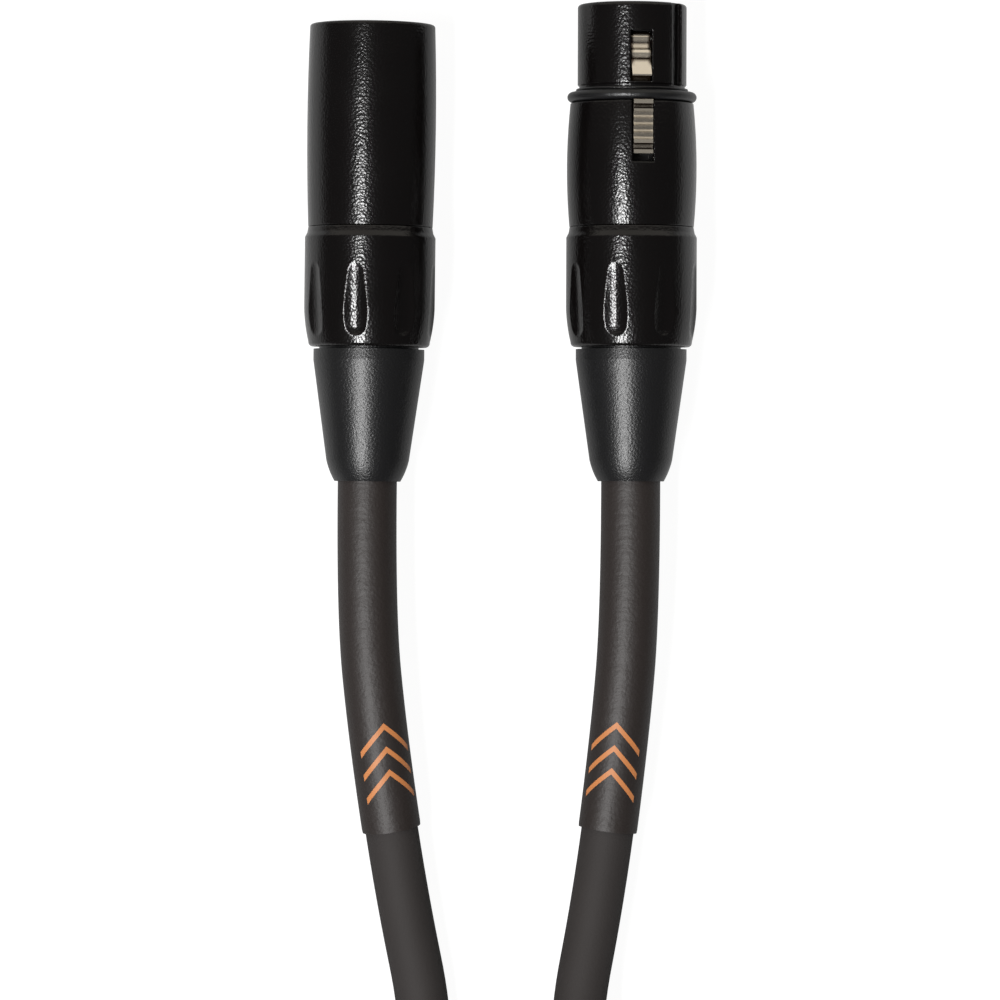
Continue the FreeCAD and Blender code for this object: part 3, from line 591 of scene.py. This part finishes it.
class PLUGS_OT_lay_cable(bpy.types.Operator):
    """The whole cable as one line, from the male boot through the hank to the female boot"""

    bl_idname = "plugs.lay_cable"
    bl_label = "Cable"

    def execute(self, context):
        sizes = context.scene.cable_sizes
        colours = context.scene.cable_colours
        first = [Vector(p) * MM for p in MALE_LEAD]
        last = [Vector(p) * MM for p in reversed(FEMALE_LEAD)]
        points = first + hank_points(sizes) + last
        data = bpy.data.curves.new("cable", "CURVE")
        data.dimensions = "3D"
        spline = data.splines.new("NURBS")
        spline.points.add(len(points) - 1)
        for place, point in zip(spline.points, points):
            place.co = (*point, 1.0)
            place.radius = sizes.radius
        spline.order_u = 3
        spline.use_endpoint_u = True
        spline.resolution_u = 12
        # the points hold the radius in metres, because Blender takes a curve's box from them
        data.bevel_depth = 1.0
        data.bevel_resolution = 7
        cable = bpy.data.objects.new("cable", data)
        context.scene.collection.objects.link(cable)
        cable.data.materials.append(extruded_jacket(colours.jacket))
        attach(cable, "plugs")
        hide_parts("cable_male_lead", "cable_hank", "cable_female_lead")
        return {"FINISHED"}


class PLUGS_OT_fit_sleeves(bpy.types.Operator):
    """Shrunk sleeves over the cable below each boot"""

    bl_idname = "plugs.fit_sleeves"
    bl_label = "Sleeves"

    AROUND = 72
    PACE = 0.5 * MM
    INSIDE_BOOT = 5.0 * MM
    ROOM_ON_CABLE = 0.03 * MM
    # the share of the wall that is left at the rounded edge
    EDGE_SHARE = 0.9

    def execute(self, context):
        sizes = context.scene.cable_sizes
        material = shrunk_sleeve(context.scene.cable_colours.sleeve)
        for side, route in routes().items():
            path = stretch(route, -self.INSIDE_BOOT, sizes.sleeve_length, self.PACE)
            sleeve = self.tube(f"{side}_shrunk_sleeve", path, sizes)
            dress(sleeve, material)
            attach(sleeve, "plugs")
            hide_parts(f"{side}_sleeve")
        return {"FINISHED"}

    def tube(self, name, path, sizes):
        """A thin-walled tube, closed between its inside and outside, its far edge rounded over."""
        inner = sizes.radius + self.ROOM_ON_CABLE
        wall = sizes.sleeve_radius - inner
        frames = level_frames(path)
        last = len(path) - 1
        rings = [(0, inner), (0, sizes.sleeve_radius)]
        rings += [(n, sizes.sleeve_radius) for n in range(1, last)]
        rings += [(last, inner + wall * self.EDGE_SHARE)]
        rings += [(n, inner) for n in range(last, 0, -1)]
        vertices = []
        for index, radius in rings:
            up, side = frames[index]
            for n in range(self.AROUND):
                turn = 2 * math.pi * n / self.AROUND
                vertices.append(path[index] + (up * math.cos(turn) + side * math.sin(turn)) * radius)
        faces = []
        for ring in range(len(rings)):
            here = ring * self.AROUND
            there = (ring + 1) % len(rings) * self.AROUND
            for n in range(self.AROUND):
                after = (n + 1) % self.AROUND
                faces.append((here + n, there + n, there + after, here + after))
        return new_piece(name, vertices, faces)


class PLUGS_OT_print_chevrons(bpy.types.Operator):
    """Three printed chevrons on each sleeve"""

    bl_idname = "plugs.print_chevrons"
    bl_label = "Chevrons"

    # in millimetres: how far round each sleeve from its top, and how far down, the first peak lies
    PEAKS = {"male": (1.02, 35.25), "female": (-0.6, 35.1)}
    # in millimetres too: from peak to peak, half the width, the depth, the stroke and the ink
    PITCH = 3.42
    HALF = 4.1
    DEPTH = 3.95
    STROKE = 0.95
    INK = 0.03
    COLUMNS = 48
    ROWS = 3
    PACE = 0.25 * MM

    def execute(self, context):
        sizes = context.scene.cable_sizes
        ink = screen_ink(context.scene.cable_colours.mark)
        for side, route in routes().items():
            path = stretch(route, 0.0, sizes.sleeve_length, self.PACE)
            frames = level_frames(path)
            round_by, down = self.PEAKS[side]
            for number in range(3):
                peak = (round_by, down + number * self.PITCH)
                mark = self.chevron(f"{side}_chevron_{number + 1}", path, frames, peak, sizes)
                dress(mark, ink)
                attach(mark, "plugs")
        return {"FINISHED"}

    def chevron(self, name, path, frames, peak, sizes):
        """A bent stroke, a few hundredths of a millimetre proud of the sleeve."""
        vertices, faces = [], []
        for n in range(self.COLUMNS + 1):
            across = -self.HALF + 2 * self.HALF * n / self.COLUMNS
            start = peak[1] + abs(across) / self.HALF * self.DEPTH
            for row in range(self.ROWS + 1):
                down = start + self.STROKE * row / self.ROWS
                vertices.append(self.on_sleeve(path, frames, down, peak[0] + across, sizes))
        step = self.ROWS + 1
        for n in range(self.COLUMNS):
            for row in range(self.ROWS):
                corner = n * step + row
                faces.append((corner, corner + 1, corner + step + 1, corner + step))
        return new_piece(name, vertices, faces)

    def on_sleeve(self, path, frames, down, across, sizes):
        """A point of the ink, by its distance down the sleeve and the arc from its top."""
        place = down * MM / sizes.sleeve_length * (len(path) - 1)
        index = min(int(place), len(path) - 2)
        centre = path[index].lerp(path[index + 1], place - index)
        up, side = frames[index]
        if side.x < 0:
            side = -side
        radius = sizes.sleeve_radius + self.INK * MM
        turn = across * MM / sizes.sleeve_radius
        return centre + (up * math.cos(turn) + side * math.sin(turn)) * radius


# The plugs


class PLUGS_OT_finish_shells(bpy.types.Operator):
    """Lacquer on the shells and collars"""

    bl_idname = "plugs.finish_shells"
    bl_label = "Shells and collars"

    def execute(self, context):
        lacquer = lacquered_zinc(context.scene.cable_colours.lacquer)
        dress_nodes(["male_shell", "female_shell", "male_collar", "female_collar"], lacquer)
        return {"FINISHED"}


class PLUGS_OT_finish_boots(bpy.types.Operator):
    """Rubber boots and gasket"""

    bl_idname = "plugs.finish_boots"
    bl_label = "Boots and gasket"

    def execute(self, context):
        rubber = moulded_rubber(context.scene.cable_colours.boot)
        dress_nodes(["male_boot", "female_boot", "female_gasket"], rubber)
        return {"FINISHED"}


class PLUGS_OT_finish_latch(bpy.types.Operator):
    """Nickel-plated latch with its pin and spring"""

    bl_idname = "plugs.finish_latch"
    bl_label = "Latch"

    def execute(self, context):
        # tumbling leaves the nickel a little matte, so it stays pale where it mirrors the dim room
        tint = context.scene.cable_colours.nickel
        # painted shade: this dark colour darkens the lever's grooves and corners
        groove_shade_colour = linear("#33261c")
        nickel = plated_metal("tumbled nickel-plated steel", tint, 0.15, 0.3, 0.86, groove_shade_colour)
        dress_nodes(["latch_lever"], nickel)
        steel = plated_metal("rolled spring steel", linear("#a9a9ab"), 0.3, 0.5)
        dress_nodes(["latch_pin", "latch_spring"], steel)
        return {"FINISHED"}


class PLUGS_OT_finish_insides(bpy.types.Operator):
    """Contacts, inserts, clamps and cores"""

    bl_idname = "plugs.finish_insides"
    bl_label = "Insides"

    def execute(self, context):
        colours = context.scene.cable_colours
        gold = plated_metal("gold-plated turned brass", colours.gold, 0.16, 0.4)
        dress_nodes([f"male_pin_{p}" for p in POLES] + [f"female_contact_{p}" for p in POLES], gold)
        dark = moulded_plastic("glass-filled moulded nylon", linear("#171718"))
        dress_nodes(["male_insert", "female_insert"], dark)
        pale = moulded_plastic("moulded acetal", linear("#dcdcd8"), 0.45)
        dress_nodes(["male_cable_clamp", "female_cable_clamp"], pale)
        jacket = extruded_jacket(colours.jacket)
        dress_nodes(["male_cable_end", "female_cable_end"], jacket)
        for pole, tint in zip(POLES, ("#8d8f92", "#b8302a", "#e6e4de")):
            skin = moulded_plastic(f"{pole} core insulation", linear(tint), 0.35)
            dress_nodes([f"{side}_core_{pole}" for side in SIDES], skin)
        return {"FINISHED"}


# The hank's tie


class PLUGS_OT_strap_hank(bpy.types.Operator):
    """Hook-and-loop tie round the hank"""

    bl_idname = "plugs.strap_hank"
    bl_label = "Tie"

    ROOM = 0.2 * MM
    CORNER_STEPS = 8
    # where the band starts, and then its lapped end: places as shares of half its breadth, and
    # heights over the start in thicknesses
    START = -0.45
    LAP = ((-0.62, 0.25), (-0.46, 1.02), (0.2, 1.02), (0.4, 1.02))
    # each edge slopes over this width, down to a share of the thickness
    EDGE = 0.3 * MM
    EDGE_SHARE = 0.4
    SMOOTH_BELOW = 50.0

    def execute(self, context):
        sizes = context.scene.cable_sizes
        strap = self.band(self.path(sizes), sizes)
        dress(strap, woven_strap(linear("#121213")))
        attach(strap, "plugs")
        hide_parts("hank_tie")
        return {"FINISHED"}

    def path(self, sizes):
        """The strap's middle line seen from its end: once round, then over its own start."""
        room = self.ROOM + sizes.tie_thickness / 2
        half = sizes.waist_column + sizes.hank_step + sizes.radius + room
        corner = sizes.radius + sizes.tie_thickness / 2
        low = sizes.lift - room
        high = sizes.lift + 2 * sizes.radius + 3 * sizes.hank_step + room
        turns = [
            (half - corner, high - corner, 90.0),
            (half - corner, low + corner, 0.0),
            (corner - half, low + corner, -90.0),
            (corner - half, high - corner, 180.0),
        ]
        line = [Vector((half * self.START, 0, high))]
        for x, z, start in turns:
            for n in range(self.CORNER_STEPS + 1):
                angle = math.radians(start - 90.0 * n / self.CORNER_STEPS)
                out = Vector((math.cos(angle), 0, math.sin(angle))) * corner
                line.append(Vector((x, 0, z)) + out)
        for share, over in self.LAP:
            line.append(Vector((half * share, 0, high + sizes.tie_thickness * over)))
        return line

    def band(self, line, sizes):
        """A flat band along the line, its edges a little rounded."""
        station = sizes.hank_top - sizes.hank_run / 2
        half, thick = sizes.tie_width / 2, sizes.tie_thickness / 2
        flat, lip = half - self.EDGE, thick * self.EDGE_SHARE
        section = [(-half, -lip), (-flat, -thick), (flat, -thick), (half, -lip)]
        section += [(half, lip), (flat, thick), (-flat, thick), (-half, lip)]
        vertices = []
        for n, point in enumerate(line):
            ahead = heading(line, n)
            out = Vector((-ahead.z, 0, ahead.x))
            for along, off in section:
                vertices.append(point + out * off + Vector((0, station + along, 0)))
        size = len(section)
        last = (len(line) - 1) * size
        faces = []
        for here in range(0, last, size):
            there = here + size
            for k in range(size):
                after = (k + 1) % size
                faces.append((here + k, here + after, there + after, there + k))
        faces.append(tuple(range(size)))
        faces.append(tuple(reversed(range(last, last + size))))
        return new_piece("hank_strap", vertices, faces, self.SMOOTH_BELOW)


class PLUGS_OT_declare_cord(bpy.types.Operator):
    """Gathers the cable's sleeves, chevrons and strap, and does nothing more with them"""

    bl_idname = "plugs.declare_cord"
    bl_label = "Cable facts"

    def execute(self, context):
        pieces = [bpy.data.objects[f"{side}_shrunk_sleeve"] for side in SIDES]
        pieces += [bpy.data.objects[f"{side}_chevron_{n}"] for side in SIDES for n in (1, 2, 3)]
        pieces.append(bpy.data.objects["hank_strap"])
        return {"FINISHED"}


class PLUGS_PT_cable(bpy.types.Panel):
    """Lists the steps that dress the cable"""

    bl_idname = "PLUGS_PT_cable"
    bl_label = "Microphone Cable"
    bl_space_type = "VIEW_3D"
    bl_region_type = "UI"
    bl_category = "Cable"

    def draw(self, context):
        for step in STEPS:
            self.layout.operator(step.bl_idname)


STEPS = (
    PLUGS_OT_set_stage,
    PLUGS_OT_lay_cable,
    PLUGS_OT_fit_sleeves,
    PLUGS_OT_print_chevrons,
    PLUGS_OT_finish_shells,
    PLUGS_OT_finish_boots,
    PLUGS_OT_finish_latch,
    PLUGS_OT_finish_insides,
    PLUGS_OT_strap_hank,
    PLUGS_OT_declare_cord,
)
GROUPS = (CableSizes, FinishColours, StageSettings)


def register():
    for group in (*GROUPS, *STEPS, PLUGS_PT_cable):
        bpy.utils.register_class(group)
    bpy.types.Scene.cable_sizes = PointerProperty(type=CableSizes)
    bpy.types.Scene.cable_colours = PointerProperty(type=FinishColours)
    bpy.types.Scene.cable_stage = PointerProperty(type=StageSettings)


def unregister():
    del bpy.types.Scene.cable_stage
    del bpy.types.Scene.cable_colours
    del bpy.types.Scene.cable_sizes
    for group in reversed((*GROUPS, *STEPS, PLUGS_PT_cable)):
        bpy.utils.unregister_class(group)


def main():
    register()
    for step in STEPS:
        group, name = step.bl_idname.split(".")
        getattr(getattr(bpy.ops, group), name)()


if __name__ == "__main__":
    main()
